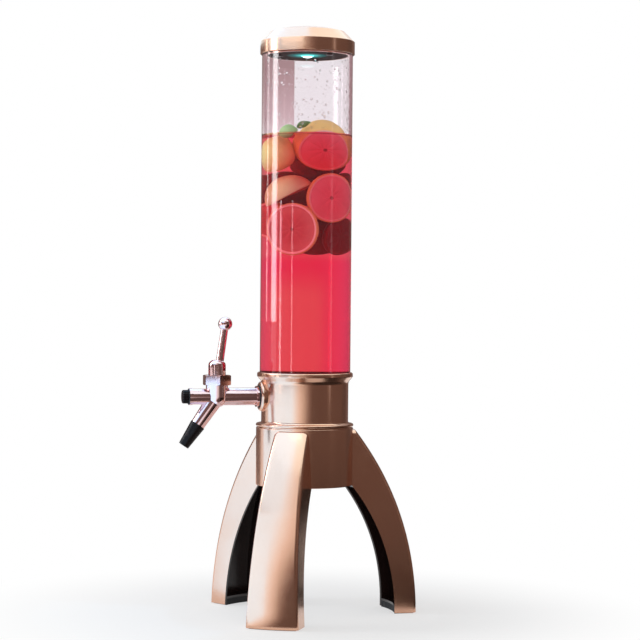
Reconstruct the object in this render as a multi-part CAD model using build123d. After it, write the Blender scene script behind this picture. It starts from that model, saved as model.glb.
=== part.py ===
from build123d import *
import os
from math import acos, cos, radians, sin, sqrt, tan

os.makedirs("parts", exist_ok=True)

# A table-top drink tower. Sizes are in millimetres.
# Pieces are drawn about the tower's axis, with the table at z = 0 and the tap along -Y.
# They are written with the origin in the middle of the tower's outline on the table.

# Clearances
FIT_GAP = 0.2           # parts that slip together and stay
RUN_GAP = 0.08          # a shaft in its bore
SWING_GAP = 0.3         # curved faces that move past each other
FACE_GAP = 0.05         # flat faces of a moving part on its seat

# Clear tube
TUBE_RADIUS = 50.0
TUBE_WALL = 3.0
TUBE_LENGTH = 362.0
TUBE_SEAL_THICKNESS = 1.5

# Hub
HUB_STEP = 5.5          # outside the collar
HUB_WALL = 3.0
HUB_DECK = 3.5
HUB_BOTTOM_Z = 142.0
HUB_HEIGHT = 63.5
HUB_EDGE = 0.8

# Legs: curved channels, open towards the axis and bowed about it
LEG_NAMES = ("rear", "left", "right")   # in turn about Z, opposite the tap first
LEG_REACH = 125.0       # outer face of the foot, from the axis
LEG_FOOT_DEPTH = 24.0
LEG_TOP_DROP = 2.0      # top of the leg below the top of the hub
LEG_TOP_PROUD = 2.0     # outer face of the leg's top, outside the hub
LEG_FOOT_WIDTH = 58.0
LEG_TOP_WIDTH = 38.0
LEG_CORNER = 7.0        # rounding of the top's corners
LEG_WALL = 3.0
LEG_EDGE_RADIUS = 4.0
LEG_TOP_FLAT = 0.02     # least flat left on the leg's top, inside its rounded edge
LEG_PLATE = 3.0         # plate that lies on the hub
LEG_PILLAR_RADIUS = 4.2
LEG_SCREW_LOW = 17.0    # above the bottom of the hub
LEG_SCREW_HIGH = 44.0
FOOT_WEB = 2.5
FOOT_PAD_HEIGHT = 7.0
FOOT_PAD_PROUD = 1.0

# Collar: the cup that holds the tube and the tap
COLLAR_HEIGHT = 60.5
COLLAR_STEP = 2.0               # inside the tube's outer face
COLLAR_WALL = 3.0
COLLAR_FLOOR = 3.0
COLLAR_FLOOR_RISE = 9.0         # underside of the floor above the hub
RIM_WALL = 2.6                  # round the tube's socket
RIM_BAND = 4.5
RIM_FLARE = 6.0                 # slope under the band
RIM_ROUND = 1.8
RIM_LIP = 0.6                   # rounding inside the rim
RIM_EDGE = 1.0
RIM_COVE = 6.0
SOCKET_DEPTH = 6.0
BEAD_PROUD = 0.3                # outside the hub
BEAD_HEIGHT = 3.6
BEAD_COVE = 2.5
SEAM_HEIGHT = 1.0
SEAM_DEPTH = 2.0
BOSS_RADIUS = 16.5
BOSS_PROUD = 4.0                # face of the tap's boss outside the collar
BOSS_EDGE = 3.0
BOSS_PAD = 0.8                  # flat inside the boss, proud of the bore at its sides
HUB_SCREW_SET = 9.0             # inside the collar's bore
HUB_SCREW_BOSS = 4.5

# Screws
SCREW_RADIUS = 1.9
SCREW_HEAD_RADIUS = 3.6
SCREW_HEAD_HEIGHT = 2.4
SCREW_SOCKET = 1.4
SCREW_BITE = 7.0                # length in the boss
SPOT_FACE = 0.4

# Tap
TAP_RISE = 34.0                 # barrel's axis above the hub
SHANK_RADIUS = 8.0
SHANK_BORE = 5.5
SHANK_LENGTH = 24.0             # behind the tap's flange
TAP_GASKET = 1.2
TAP_GASKET_RADIUS = 12.0
SHANK_NUT_WIDTH = 22.0
SHANK_NUT_HEIGHT = 6.5
TAP_FLANGE_RADIUS = 11.5
TAP_FLANGE = 2.2
BARREL_RADIUS = 9.6
FRONT_RADIUS = 8.6
FRONT_RING_RADIUS = 9.2
FRONT_RING = 3.5
FRONT_LENGTH = 31.0             # ahead of the valve
CHAMBER_BORE = 6.5
PLUNGER_BORE = 4.9
VALVE_REACH = 45.8              # valve's upright axis ahead of the flange's back
VALVE_RADIUS = 12.0
NECK_RADIUS = 11.2
NECK_BORE = 9.4
NECK_THROAT = 7.4
NECK_SHOULDER = 12.5            # above the barrel's axis
NECK_HEIGHT = 7.0
SPOUT_ANGLE = 34.5              # from the vertical, outwards
SPOUT_LENGTH = 37.0
SPOUT_TOP_RADIUS = 9.4
SPOUT_END_RADIUS = 7.9
SPOUT_BORE = 4.5
SPIGOT_RADIUS = 5.9
SPIGOT_LENGTH = 14.0
NOZZLE_TOP_RADIUS = 8.5
NOZZLE_TIP_RADIUS = 5.9
NOZZLE_LENGTH = 27.5
NOZZLE_BORE = 4.2
END_CAP_RADIUS = 7.4
END_CAP_LENGTH = 6.5
END_CAP_STEM = 4.5
END_CAP_RIBS = 16
END_CAP_GROOVE = 0.7
END_CAP_WASHER = 0.8

# Lever
BALL_RISE = 17.0                # centre of the lever's ball above the barrel's axis
BALL_RADIUS = 7.0
LEVER_LEAN = 8.0                # towards the tube when the tap is shut
LEVER_SWING = 38.0
LEVER_LENGTH = 62.8             # ball centre to knob centre
LEVER_BASE_RADIUS = 4.4
LEVER_TOP_RADIUS = 4.0
STUD_RADIUS = 2.8
STUD_LENGTH = 8.0
KNOB_RADIUS = 7.7
KNOB_FLAT = 6.3                 # flat under the knob, below its centre
FINGER_RADIUS = 2.5
FINGER_TIP_RADIUS = 3.0
BALL_WASHER_HEIGHT = 3.4
BALL_WASHER_DROP = 4.0          # underside of the washer below the ball's centre
BONNET_WIDTH = 28.0
BONNET_LIP = 2.0
BONNET_CHAMFER = 1.6
GUIDE_RADIUS = 9.9              # slotted guide round the lever
GUIDE_FLANGE = 2.0
GUIDE_HEIGHT = 20.5
GUIDE_ROUND = 6.0
GUIDE_SPREAD = 3.0              # slot past the lever's travel, in degrees
SPANNER_WIDTH = 3.0
SPANNER_HEIGHT = 3.4
SPANNER_DEPTH = 2.4
SPANNER_DROP = 6.5              # slot centre below the top of the guide
SPANNER_ANGLES = (11, 169, 219, 321)

# Valve plunger
SEAT_SET = 22.0                 # front of the seat behind the valve
SEAT_WALL = 3.0
SEAT_BORE = 4.2
YOKE_RADIUS = 6.0
YOKE_LENGTH = 14.0
YOKE_HEIGHT = 6.0
YOKE_SLACK = 0.5                # beside the finger's tip
YOKE_ROOM = 1.5                 # ahead of the yoke when the tap is shut
PLUNGER_SET = 0.5               # behind the end cap when the tap is shut
STEM_RADIUS = 2.6
STEM_COLLAR = 3.6
SEAT_WASHER = 3.0
SEAT_WASHER_RADIUS = 5.1
WASHER_NUT_WIDTH = 7.6
WASHER_NUT_HEIGHT = 3.2

# Lid
LID_SKIRT = 1.6
LID_OVERLAP = 8.0               # skirt below the top of the tube
LID_BAND = 14.0
LID_SHOULDER_RUN = 11.0
LID_SHOULDER_HEIGHT = 11.0
LID_CROWN = 5.5
LID_WALL = 2.2
LID_GAP = 0.4                   # between the lid and the tube
LID_DECK = 2.0
LID_EDGE = 0.8
PLUG_WALL = 2.0
PLUG_DROP = 1.5                 # below the skirt
TRAY_THICKNESS = 2.0
TRAY_RECESS = 0.6
TRAY_SCREW_SET = 10.6           # inside the plug's bore
TRAY_BOSS = 3.4

# Light in the lid
LENS_RADIUS = 7.7
LENS_DOME = 2.6
LENS_FLANGE_RADIUS = 13.8
LENS_FLANGE = 1.5
LENS_CAVITY = 4.2
LENS_TRAVEL = 1.5
LENS_ROOM = 5.7                 # lens flange to the board
SLEEVE_WALL = 2.2
BOARD_RADIUS = 15.4
BOARD_THICKNESS = 1.4
LED_RADIUS = 2.5
LED_RIM = 0.4
LED_HEIGHT = 5.0
SWITCH_OUT = 10.5
SWITCH_SIZE = 5.0
SWITCH_NUB = 1.2
COIL_RADIUS = 6.2
COIL_WIRE = 0.25
COIL_TURNS = 4
CELL_RADIUS = 10.0
CELL_HEIGHT = 3.2
CELL_COUNT = 2
CLIP_WIDTH = 8.0
CLIP_THICKNESS = 0.5

# Heights and distances that follow
COLLAR_RADIUS = TUBE_RADIUS - COLLAR_STEP
COLLAR_BORE = COLLAR_RADIUS - COLLAR_WALL
HUB_RADIUS = COLLAR_RADIUS + HUB_STEP
BEAD_RADIUS = HUB_RADIUS + BEAD_PROUD
HUB_SCREW_CIRCLE = COLLAR_BORE - HUB_SCREW_SET
HUB_TOP_Z = HUB_BOTTOM_Z + HUB_HEIGHT
HUB_BORE = HUB_RADIUS - HUB_WALL
SCREW_HOLE = SCREW_RADIUS + FIT_GAP
BOSS_HOLE = SCREW_RADIUS + FACE_GAP
LEG_STEP = 360 / len(LEG_NAMES)
LEG_ANGLES = [90 + LEG_STEP * leg for leg in range(len(LEG_NAMES))]
SCREW_ANGLES = [angle + LEG_STEP / 2 for angle in LEG_ANGLES]
LEG_SCREW_HEIGHTS = [HUB_BOTTOM_Z + LEG_SCREW_LOW, HUB_BOTTOM_Z + LEG_SCREW_HIGH]
LEG_TOP_Z = HUB_TOP_Z - LEG_TOP_DROP
OUTER_RUN = LEG_REACH - HUB_RADIUS - LEG_TOP_PROUD
OUTER_CURVE = (OUTER_RUN**2 + LEG_TOP_Z**2) / (2 * OUTER_RUN)
TOP_SLOPE = acos(LEG_TOP_Z / OUTER_CURVE)   # of the outer face at the top of the leg, from level
LEG_EDGE = min(LEG_EDGE_RADIUS, (LEG_TOP_PROUD - LEG_TOP_FLAT) / tan(TOP_SLOPE / 2))   # within its wall
LEG_INSIDE = LEG_REACH - LEG_FOOT_DEPTH
INNER_RUN = LEG_INSIDE - HUB_RADIUS
INNER_CURVE = (INNER_RUN**2 + HUB_BOTTOM_Z**2) / (2 * INNER_RUN)
FOOT_WEB_Z = FOOT_PAD_HEIGHT
COLLAR_TOP_Z = HUB_TOP_Z + COLLAR_HEIGHT
FLOOR_Z = HUB_TOP_Z + COLLAR_FLOOR_RISE
SOCKET_Z = COLLAR_TOP_Z - SOCKET_DEPTH
SOCKET_RADIUS = TUBE_RADIUS + FIT_GAP
RIM_RADIUS = SOCKET_RADIUS + RIM_WALL
TUBE_Z = SOCKET_Z + TUBE_SEAL_THICKNESS
TUBE_TOP_Z = TUBE_Z + TUBE_LENGTH
TUBE_BORE = TUBE_RADIUS - TUBE_WALL
BOSS_BACK = sqrt(COLLAR_BORE**2 - BOSS_RADIUS**2) - BOSS_PAD
BOSS_FACE = COLLAR_RADIUS + BOSS_PROUD
FLANGE_OUT = BOSS_FACE + TAP_GASKET
VALVE_OUT = FLANGE_OUT + VALVE_REACH
FRONT_END = VALVE_OUT + FRONT_LENGTH
PLUNGER_FRONT = FRONT_END - END_CAP_STEM - PLUNGER_SET
TAP_Z = HUB_TOP_Z + TAP_RISE
BALL_Z = TAP_Z + BALL_RISE
NECK_TOP_Z = TAP_Z + NECK_SHOULDER + NECK_HEIGHT
GUIDE_TOP_Z = NECK_TOP_Z + GUIDE_HEIGHT
TIP_OUT = VALVE_OUT + BALL_RISE * sin(radians(LEVER_LEAN))
YOKE_FRONT = TIP_OUT + YOKE_LENGTH / 2
SEAT_OUT = VALVE_OUT - SEAT_SET
SEAT_BACK = SEAT_OUT - SEAT_WALL
LID_RADIUS = TUBE_RADIUS + LID_GAP + LID_SKIRT
LID_SHOULDER_RADIUS = LID_RADIUS - LID_SHOULDER_RUN
SKIRT_Z = TUBE_TOP_Z - LID_OVERLAP
PLUG_Z = SKIRT_Z - PLUG_DROP
PLUG_RADIUS = TUBE_BORE - LID_GAP
PLUG_BORE = PLUG_RADIUS - PLUG_WALL
TRAY_SCREW_CIRCLE = PLUG_BORE - TRAY_SCREW_SET
TRAY_Z = PLUG_Z + TRAY_RECESS
TRAY_TOP_Z = TRAY_Z + TRAY_THICKNESS
LENS_TOP_Z = TRAY_TOP_Z + FACE_GAP + LENS_FLANGE
BOARD_Z = LENS_TOP_Z + LENS_ROOM
END_CAP_OUT = FRONT_END + END_CAP_WASHER
NOZZLE_REACH = (SPOUT_LENGTH + NOZZLE_LENGTH) * sin(radians(SPOUT_ANGLE))
NOZZLE_OUT = VALVE_OUT + NOZZLE_REACH + NOZZLE_TIP_RADIUS * cos(radians(SPOUT_ANGLE))
TAP_OUT = max(END_CAP_OUT + END_CAP_LENGTH, NOZZLE_OUT)
TOWER_Y = (TAP_OUT - LEG_REACH) / 2

BASE = (Align.CENTER, Align.CENTER, Align.MIN)
ACROSS = Rot(0, 90, 0)          # turns an upright piece to point along +X
TAP_AXIS = Plane(origin=(0, 0, TAP_Z), x_dir=(1, 0, 0), z_dir=(0, -1, 0))
VALVE_SIDE = Plane(origin=(0, -VALVE_OUT, BALL_Z), x_dir=(0, -1, 0), z_dir=(-1, 0, 0))
SPOUT_AXIS = Plane(
    origin=(0, -VALVE_OUT, TAP_Z),
    x_dir=(1, 0, 0),
    z_dir=(0, -sin(radians(SPOUT_ANGLE)), -cos(radians(SPOUT_ANGLE))),
)
VALVE_AXIS = Pos(0, -VALVE_OUT, 0)
LEVER_AXIS = Pos(0, -VALVE_OUT, BALL_Z) * Rot(-LEVER_LEAN, 0, 0)


def rod(radius, low, high):
    """An upright cylinder from low to high."""
    return Pos(0, 0, low) * Cylinder(radius, high - low, align=BASE)


def ring(outer, inner, low, high):
    """An upright ring from low to high."""
    return rod(outer, low, high) - rod(inner, low, high)


def taper(low_radius, high_radius, low, high):
    """An upright cone from low to high."""
    return Pos(0, 0, low) * Cone(low_radius, high_radius, high - low, align=BASE)


def hexagon(width, low, high):
    """An upright hexagonal bar, width across its flats."""
    outline = RegularPolygon(width / sqrt(3), 6)
    return Pos(0, 0, low) * extrude(outline, high - low)


def turned(corners):
    """A solid turned about Z from (radius, height, rounding) corners."""
    points = [(radius, height) for radius, height, rounding in corners]
    rounds = [rounding for radius, height, rounding in corners]
    outline = Plane.XZ * FilletPolyline(*points, radius=rounds, close=True)
    return revolve(make_face(outline), Axis.Z)


def around(angles, radius, height, piece):
    """Copies of a piece at these angles on a circle about Z."""
    return [Rot(0, 0, angle) * Pos(radius, 0, height) * piece for angle in angles]


def screw(length):
    """A socket head screw, with its head below z = 0 and its shank up to length."""
    body = rod(SCREW_HEAD_RADIUS, -SCREW_HEAD_HEIGHT, 0) + rod(SCREW_RADIUS, 0, length)
    socket = hexagon(SCREW_HEAD_RADIUS, -SCREW_HEAD_HEIGHT, SCREW_SOCKET - SCREW_HEAD_HEIGHT)
    return body - socket


def swing_slot(half_gap, spread, reach, width):
    """The slab that an arm sweeps above the valve's pivot, leaning up to spread each way."""
    lean = radians(spread)
    side = (half_gap * cos(lean), -half_gap * sin(lean))
    far = (side[0] + reach * sin(lean), side[1] + reach * cos(lean))
    outline = Polyline(side, far, (-far[0], far[1]), (-side[0], side[1]), close=True)
    return extrude(VALVE_SIDE * make_face(outline), width / 2, both=True)


# Base: hub, legs and foot pads


def leg_curve(foot_radius, curve, height):
    """A leg's side curve up to a height, upright on the table and bent by about the radius curve."""
    drop = sqrt(curve**2 - height**2)
    bend = (foot_radius, curve * (curve - drop) / height)
    return Bezier((foot_radius, 0), bend, (foot_radius - curve + drop, height))


def leg_form(lines, inset, low):
    """A side profile bowed about the axis and cut to the leg's front outline, drawn in by inset."""
    side = make_face(Plane.XZ * (Curve() + lines))
    bowed = Rot(0, 0, -LEG_STEP / 2) * revolve(side, Axis.Z, LEG_STEP)
    foot_half = LEG_FOOT_WIDTH / 2 - inset
    top_half = LEG_TOP_WIDTH / 2 - inset
    top = LEG_TOP_Z - inset
    corner = max(LEG_CORNER - inset, FACE_GAP)
    corners = [(-foot_half, low), (foot_half, low), (top_half, top), (-top_half, top)]
    front = Plane.YZ * FilletPolyline(*corners, radius=[0, 0, corner, corner], close=True)
    return bowed & extrude(make_face(front), 2 * LEG_REACH)


def leg_outside():
    """The leg's solid form, from just above the table up to the hub."""
    outer = leg_curve(LEG_REACH, OUTER_CURVE, LEG_TOP_Z)
    inner = leg_curve(LEG_INSIDE, INNER_CURVE, HUB_BOTTOM_Z)
    root = Polyline(outer @ 1, (HUB_RADIUS, LEG_TOP_Z), inner @ 1)
    return leg_form([outer, root, inner, Line(inner @ 0, outer @ 0)], 0, FOOT_PAD_PROUD)


def leg_room():
    """The hollow of the channel, up to where its outer wall meets the plate on the hub."""
    foot = LEG_REACH - LEG_WALL
    curve = OUTER_CURVE - LEG_WALL
    plate = HUB_RADIUS + LEG_PLATE
    outer = leg_curve(foot, curve, sqrt(curve**2 - (plate - foot + curve) ** 2))
    return leg_form([outer, Polyline(outer @ 1, (plate, 0), outer @ 0)], LEG_WALL, 0)


def make_leg():
    """One leg, along +X."""
    block = leg_outside()
    outer = block.faces().filter_by(GeomType.PLANE, reverse=True).sort_by(Axis.X)[-1]
    block = fillet(outer.edges().sort_by(Axis.Z)[1:], LEG_EDGE)
    web = Pos(0, 0, FOOT_WEB_Z) * Box(2 * LEG_REACH, 2 * LEG_REACH, FOOT_WEB, align=BASE)
    leg = block - leg_room() + (block & web)
    for height in LEG_SCREW_HEIGHTS:
        at = Pos(0, 0, height) * ACROSS
        leg += (at * rod(LEG_PILLAR_RADIUS, HUB_RADIUS, LEG_REACH)) & block
        leg -= at * rod(BOSS_HOLE, 0, HUB_RADIUS + SCREW_BITE + FIT_GAP)
    return leg


def make_foot_pad():
    """The rubber pad that fills the end of one leg, below its web."""
    inset = LEG_WALL + FIT_GAP
    outer = leg_curve(LEG_REACH - inset, OUTER_CURVE - inset, FOOT_WEB_Z)
    inner = leg_curve(LEG_INSIDE, INNER_CURVE, FOOT_WEB_Z)
    return leg_form([outer, Line(outer @ 1, inner @ 1), inner, Line(inner @ 0, outer @ 0)], inset, 0)


def make_hub():
    """The drum that carries the legs, open below, with a deck for the collar."""
    hub = turned([
        (HUB_BORE, HUB_BOTTOM_Z, 0),
        (HUB_RADIUS, HUB_BOTTOM_Z, HUB_EDGE),
        (HUB_RADIUS, HUB_TOP_Z, HUB_EDGE),
        (0, HUB_TOP_Z, 0),
        (0, HUB_TOP_Z - HUB_DECK, 0),
        (HUB_BORE, HUB_TOP_Z - HUB_DECK, HUB_WALL),
    ])
    for hole in around(SCREW_ANGLES, HUB_SCREW_CIRCLE, 0, rod(SCREW_HOLE, 0, HUB_TOP_Z)):
        hub -= hole
    spot_depth = HUB_BORE + SPOT_FACE
    spot = ACROSS * rod(SCREW_HEAD_RADIUS + FIT_GAP, HUB_BORE - SCREW_HEAD_HEIGHT, spot_depth)
    drill = ACROSS * rod(SCREW_HOLE, HUB_BORE, HUB_RADIUS)
    for height in LEG_SCREW_HEIGHTS:
        for hole in around(LEG_ANGLES, 0, height, spot + drill):
            hub -= hole
    return hub


def make_leg_screws():
    """Two screws a leg, from inside the hub."""
    length = HUB_WALL - SPOT_FACE + SCREW_BITE
    piece = ACROSS * Pos(0, 0, HUB_BORE + SPOT_FACE) * screw(length)
    screws = []
    for height in LEG_SCREW_HEIGHTS:
        screws += around(LEG_ANGLES, 0, height, piece)
    return Compound(screws)


def make_hub_screws():
    """Screws up through the hub's deck into the collar."""
    under_deck = HUB_TOP_Z - HUB_DECK
    piece = screw(HUB_DECK + SCREW_BITE)
    return Compound(around(SCREW_ANGLES, HUB_SCREW_CIRCLE, under_deck, piece))


# Collar, tube and tube seal


def make_collar():
    """The cup with its rim, tap boss, bead and screw bosses."""
    bead_low = HUB_TOP_Z + SEAM_HEIGHT
    bead_high = bead_low + BEAD_HEIGHT
    flare_high = COLLAR_TOP_Z - RIM_BAND
    seam_radius = HUB_RADIUS - SEAM_DEPTH
    bead_round = BEAD_HEIGHT / 2 - FACE_GAP
    rim_round = min(RIM_ROUND, RIM_RADIUS - SOCKET_RADIUS - RIM_LIP - FACE_GAP)
    collar = turned([
        (COLLAR_BORE, HUB_TOP_Z, 0),
        (seam_radius, HUB_TOP_Z, 0),
        (seam_radius, bead_low, 0),
        (BEAD_RADIUS, bead_low, bead_round),
        (BEAD_RADIUS, bead_high, bead_round),
        (COLLAR_RADIUS, bead_high, BEAD_COVE),
        (COLLAR_RADIUS, flare_high - RIM_FLARE, RIM_COVE),
        (RIM_RADIUS, flare_high, RIM_EDGE),
        (RIM_RADIUS, COLLAR_TOP_Z, rim_round),
        (SOCKET_RADIUS, COLLAR_TOP_Z, RIM_LIP),
        (SOCKET_RADIUS, SOCKET_Z, 0),
        (COLLAR_BORE, SOCKET_Z, 0),
        (COLLAR_BORE, FLOOR_Z + COLLAR_FLOOR, COLLAR_WALL),
        (0, FLOOR_Z + COLLAR_FLOOR, 0),
        (0, FLOOR_Z, 0),
        (COLLAR_BORE, FLOOR_Z, 0),
    ])
    boss = rod(BOSS_RADIUS, BOSS_BACK, BOSS_FACE)
    boss = fillet(boss.edges().filter_by(GeomType.CIRCLE).sort_by(Axis.Z)[-1:], BOSS_EDGE)
    collar += TAP_AXIS * boss - rod(SOCKET_RADIUS, SOCKET_Z, COLLAR_TOP_Z)
    collar -= TAP_AXIS * rod(SHANK_RADIUS + FIT_GAP, 0, BOSS_FACE)
    post = rod(HUB_SCREW_BOSS, HUB_TOP_Z, FLOOR_Z)
    hole = rod(BOSS_HOLE, HUB_TOP_Z, HUB_TOP_Z + SCREW_BITE + FIT_GAP)
    for place in around(SCREW_ANGLES, HUB_SCREW_CIRCLE, 0, post - hole):
        collar += place
    return collar


def make_tube():
    """The clear tube."""
    return ring(TUBE_RADIUS, TUBE_BORE, TUBE_Z, TUBE_TOP_Z)


def make_tube_seal():
    """The flat ring under the tube's end."""
    return ring(SOCKET_RADIUS - FIT_GAP, COLLAR_BORE + FIT_GAP, SOCKET_Z, TUBE_Z)


# Tap: everything that stays still


def make_tap_body():
    """Shank, flange, barrel, valve and spout in one casting."""
    guide_start = YOKE_FRONT + YOKE_ROOM
    along = rod(SHANK_RADIUS, FLANGE_OUT - SHANK_LENGTH, FLANGE_OUT)
    along += rod(TAP_FLANGE_RADIUS, FLANGE_OUT, FLANGE_OUT + TAP_FLANGE)
    along += rod(BARREL_RADIUS, FLANGE_OUT + TAP_FLANGE, VALVE_OUT)
    along += rod(FRONT_RADIUS, VALVE_OUT, FRONT_END)
    along += rod(FRONT_RING_RADIUS, FRONT_END - FRONT_RING, FRONT_END)
    spout = taper(SPOUT_TOP_RADIUS, SPOUT_END_RADIUS, 0, SPOUT_LENGTH)
    spout += rod(SPIGOT_RADIUS, SPOUT_LENGTH, SPOUT_LENGTH + SPIGOT_LENGTH)
    upright = rod(VALVE_RADIUS, TAP_Z, TAP_Z + NECK_SHOULDER)
    upright += rod(NECK_RADIUS, TAP_Z + NECK_SHOULDER, NECK_TOP_Z)
    upright += Pos(0, 0, TAP_Z) * Sphere(VALVE_RADIUS)
    body = VALVE_AXIS * upright + TAP_AXIS * along + SPOUT_AXIS * spout

    bores = rod(SHANK_BORE, FLANGE_OUT - SHANK_LENGTH, SEAT_BACK)
    bores += rod(SEAT_BORE, SEAT_BACK, SEAT_OUT)
    bores += rod(CHAMBER_BORE, SEAT_OUT, guide_start)
    bores += rod(PLUNGER_BORE, guide_start, FRONT_END)
    neck = rod(NECK_THROAT, TAP_Z, NECK_TOP_Z)
    neck += rod(NECK_BORE, BALL_Z - BALL_WASHER_DROP, NECK_TOP_Z)
    body -= TAP_AXIS * bores
    body -= VALVE_AXIS * neck
    body -= SPOUT_AXIS * rod(SPOUT_BORE, 0, SPOUT_LENGTH + SPIGOT_LENGTH)
    opening = LEVER_SWING - LEVER_LEAN + GUIDE_SPREAD
    finger_room = swing_slot(FINGER_RADIUS + YOKE_SLACK, opening, BALL_RISE, 2 * FINGER_TIP_RADIUS)
    return body - finger_room.rotate(Axis((0, -VALVE_OUT, BALL_Z), (1, 0, 0)), 180)


def make_tap_gasket(back):
    """A rubber washer on the shank, from back outwards."""
    return TAP_AXIS * ring(TAP_GASKET_RADIUS, SHANK_RADIUS + FIT_GAP, back, back + TAP_GASKET)


def make_shank_nut():
    """The nut inside the collar."""
    front = BOSS_BACK - TAP_GASKET
    nut = hexagon(SHANK_NUT_WIDTH, front - SHANK_NUT_HEIGHT, front)
    return TAP_AXIS * (nut - rod(SHANK_RADIUS + FACE_GAP, 0, front))


def make_end_cap():
    """The ribbed plug in the front end of the barrel."""
    head_end = END_CAP_OUT + END_CAP_LENGTH
    head = rod(END_CAP_RADIUS, END_CAP_OUT, head_end)
    head = chamfer(head.edges().filter_by(GeomType.CIRCLE).sort_by(Axis.Z)[-1:], END_CAP_GROOVE)
    angles = [360 * rib / END_CAP_RIBS for rib in range(END_CAP_RIBS)]
    for groove in around(angles, END_CAP_RADIUS, 0, rod(END_CAP_GROOVE, END_CAP_OUT, head_end)):
        head -= groove
    return TAP_AXIS * (head + rod(PLUNGER_BORE - RUN_GAP, FRONT_END - END_CAP_STEM, END_CAP_OUT))


def make_end_cap_washer():
    """The rubber washer under the end cap."""
    return TAP_AXIS * ring(FRONT_RADIUS - FIT_GAP, PLUNGER_BORE, FRONT_END, END_CAP_OUT)


def make_nozzle():
    """The tapered nozzle pushed on the spout's spigot."""
    end = SPOUT_LENGTH + NOZZLE_LENGTH
    nozzle = taper(NOZZLE_TOP_RADIUS, NOZZLE_TIP_RADIUS, SPOUT_LENGTH, end)
    socket = rod(SPIGOT_RADIUS + FACE_GAP, SPOUT_LENGTH, SPOUT_LENGTH + SPIGOT_LENGTH)
    return SPOUT_AXIS * (nozzle - socket - rod(NOZZLE_BORE, SPOUT_LENGTH, end))


def make_ball_seat(outer, low, high):
    """A washer in the valve's neck, hollowed for the lever's ball."""
    ball_room = Pos(0, 0, BALL_Z) * Sphere(BALL_RADIUS + SWING_GAP)
    return VALVE_AXIS * (rod(outer, low, high) - ball_room)


def make_lever_guide():
    """The rounded guide whose slot lets the lever swing fore and aft only."""
    guide = turned([
        (0, NECK_TOP_Z, 0),
        (NECK_RADIUS - FACE_GAP, NECK_TOP_Z, 0),
        (NECK_RADIUS - FACE_GAP, NECK_TOP_Z + GUIDE_FLANGE, 0),
        (GUIDE_RADIUS, NECK_TOP_Z + GUIDE_FLANGE, 0),
        (GUIDE_RADIUS, GUIDE_TOP_Z, GUIDE_ROUND),
        (0, GUIDE_TOP_Z, 0),
    ])
    guide -= Pos(0, 0, BALL_Z) * Sphere(BALL_RADIUS + SWING_GAP)
    slot = Box(2 * SPANNER_DEPTH, SPANNER_WIDTH, SPANNER_HEIGHT)
    for place in around(SPANNER_ANGLES, GUIDE_RADIUS, GUIDE_TOP_Z - SPANNER_DROP, slot):
        guide -= place
    half_gap = LEVER_BASE_RADIUS + SWING_GAP
    opening = LEVER_SWING - LEVER_LEAN + GUIDE_SPREAD
    reach = 2 * (GUIDE_TOP_Z - BALL_Z)
    return VALVE_AXIS * guide - swing_slot(half_gap, opening, reach, 2 * half_gap)


def make_bonnet_nut():
    """The hexagon nut that clamps the guide on the valve's neck."""
    low = TAP_Z + NECK_SHOULDER + FACE_GAP
    lip = NECK_TOP_Z + GUIDE_FLANGE + FACE_GAP
    high = lip + BONNET_LIP
    corner = BONNET_WIDTH / sqrt(3)
    turning = turned([
        (0, low, 0),
        (corner - BONNET_CHAMFER, low, 0),
        (corner, low + BONNET_CHAMFER / 2, 0),
        (corner, high - BONNET_CHAMFER / 2, 0),
        (corner - BONNET_CHAMFER, high, 0),
        (0, high, 0),
    ])
    nut = hexagon(BONNET_WIDTH, low, high) & turning
    nut -= rod(NECK_RADIUS + FACE_GAP, low, lip)
    return VALVE_AXIS * (nut - rod(GUIDE_RADIUS + FIT_GAP, low, high))


# Tap: lever and plunger


def make_lever():
    """Finger, ball, rod and threaded stud in one piece."""
    rod_end = LEVER_LENGTH - KNOB_FLAT
    lever = Sphere(BALL_RADIUS) + taper(LEVER_BASE_RADIUS, LEVER_TOP_RADIUS, 0, rod_end)
    lever += rod(STUD_RADIUS, rod_end, rod_end + STUD_LENGTH)
    lever += rod(FINGER_RADIUS, -BALL_RISE, 0)
    lever += Pos(0, 0, -BALL_RISE) * Sphere(FINGER_TIP_RADIUS)
    return LEVER_AXIS * lever


def make_lever_knob():
    """The round knob screwed on the lever."""
    knob = Pos(0, 0, LEVER_LENGTH) * Sphere(KNOB_RADIUS)
    rod_end = LEVER_LENGTH - KNOB_FLAT
    knob -= rod(KNOB_RADIUS, rod_end - KNOB_RADIUS, rod_end)
    knob -= rod(STUD_RADIUS + FACE_GAP, rod_end, rod_end + STUD_LENGTH + FIT_GAP)
    return LEVER_AXIS * knob


def make_plunger():
    """The valve rod: threaded stem, slotted yoke for the finger, and front guide."""
    yoke_back = YOKE_FRONT - YOKE_LENGTH
    stem_end = SEAT_BACK - SEAT_WASHER - WASHER_NUT_HEIGHT - FIT_GAP
    plunger = rod(STEM_RADIUS, stem_end, yoke_back)
    plunger += rod(STEM_COLLAR, SEAT_BACK - FACE_GAP, SEAT_OUT + SEAT_WALL)
    yoke = Pos(0, 0, TIP_OUT) * Box(2 * YOKE_RADIUS, YOKE_HEIGHT, YOKE_LENGTH)
    plunger += rod(YOKE_RADIUS, yoke_back, YOKE_FRONT) & yoke
    plunger += rod(PLUNGER_BORE - RUN_GAP, YOKE_FRONT, PLUNGER_FRONT)
    slot = 2 * (FINGER_TIP_RADIUS + YOKE_SLACK)
    plunger -= Pos(0, 0, TIP_OUT) * Box(slot, 2 * YOKE_RADIUS, slot)
    return TAP_AXIS * plunger


def make_seat_washer():
    """The rubber washer that shuts the valve."""
    front = SEAT_BACK - FACE_GAP
    return TAP_AXIS * ring(SEAT_WASHER_RADIUS, STEM_RADIUS + FACE_GAP, front - SEAT_WASHER, front)


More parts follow.
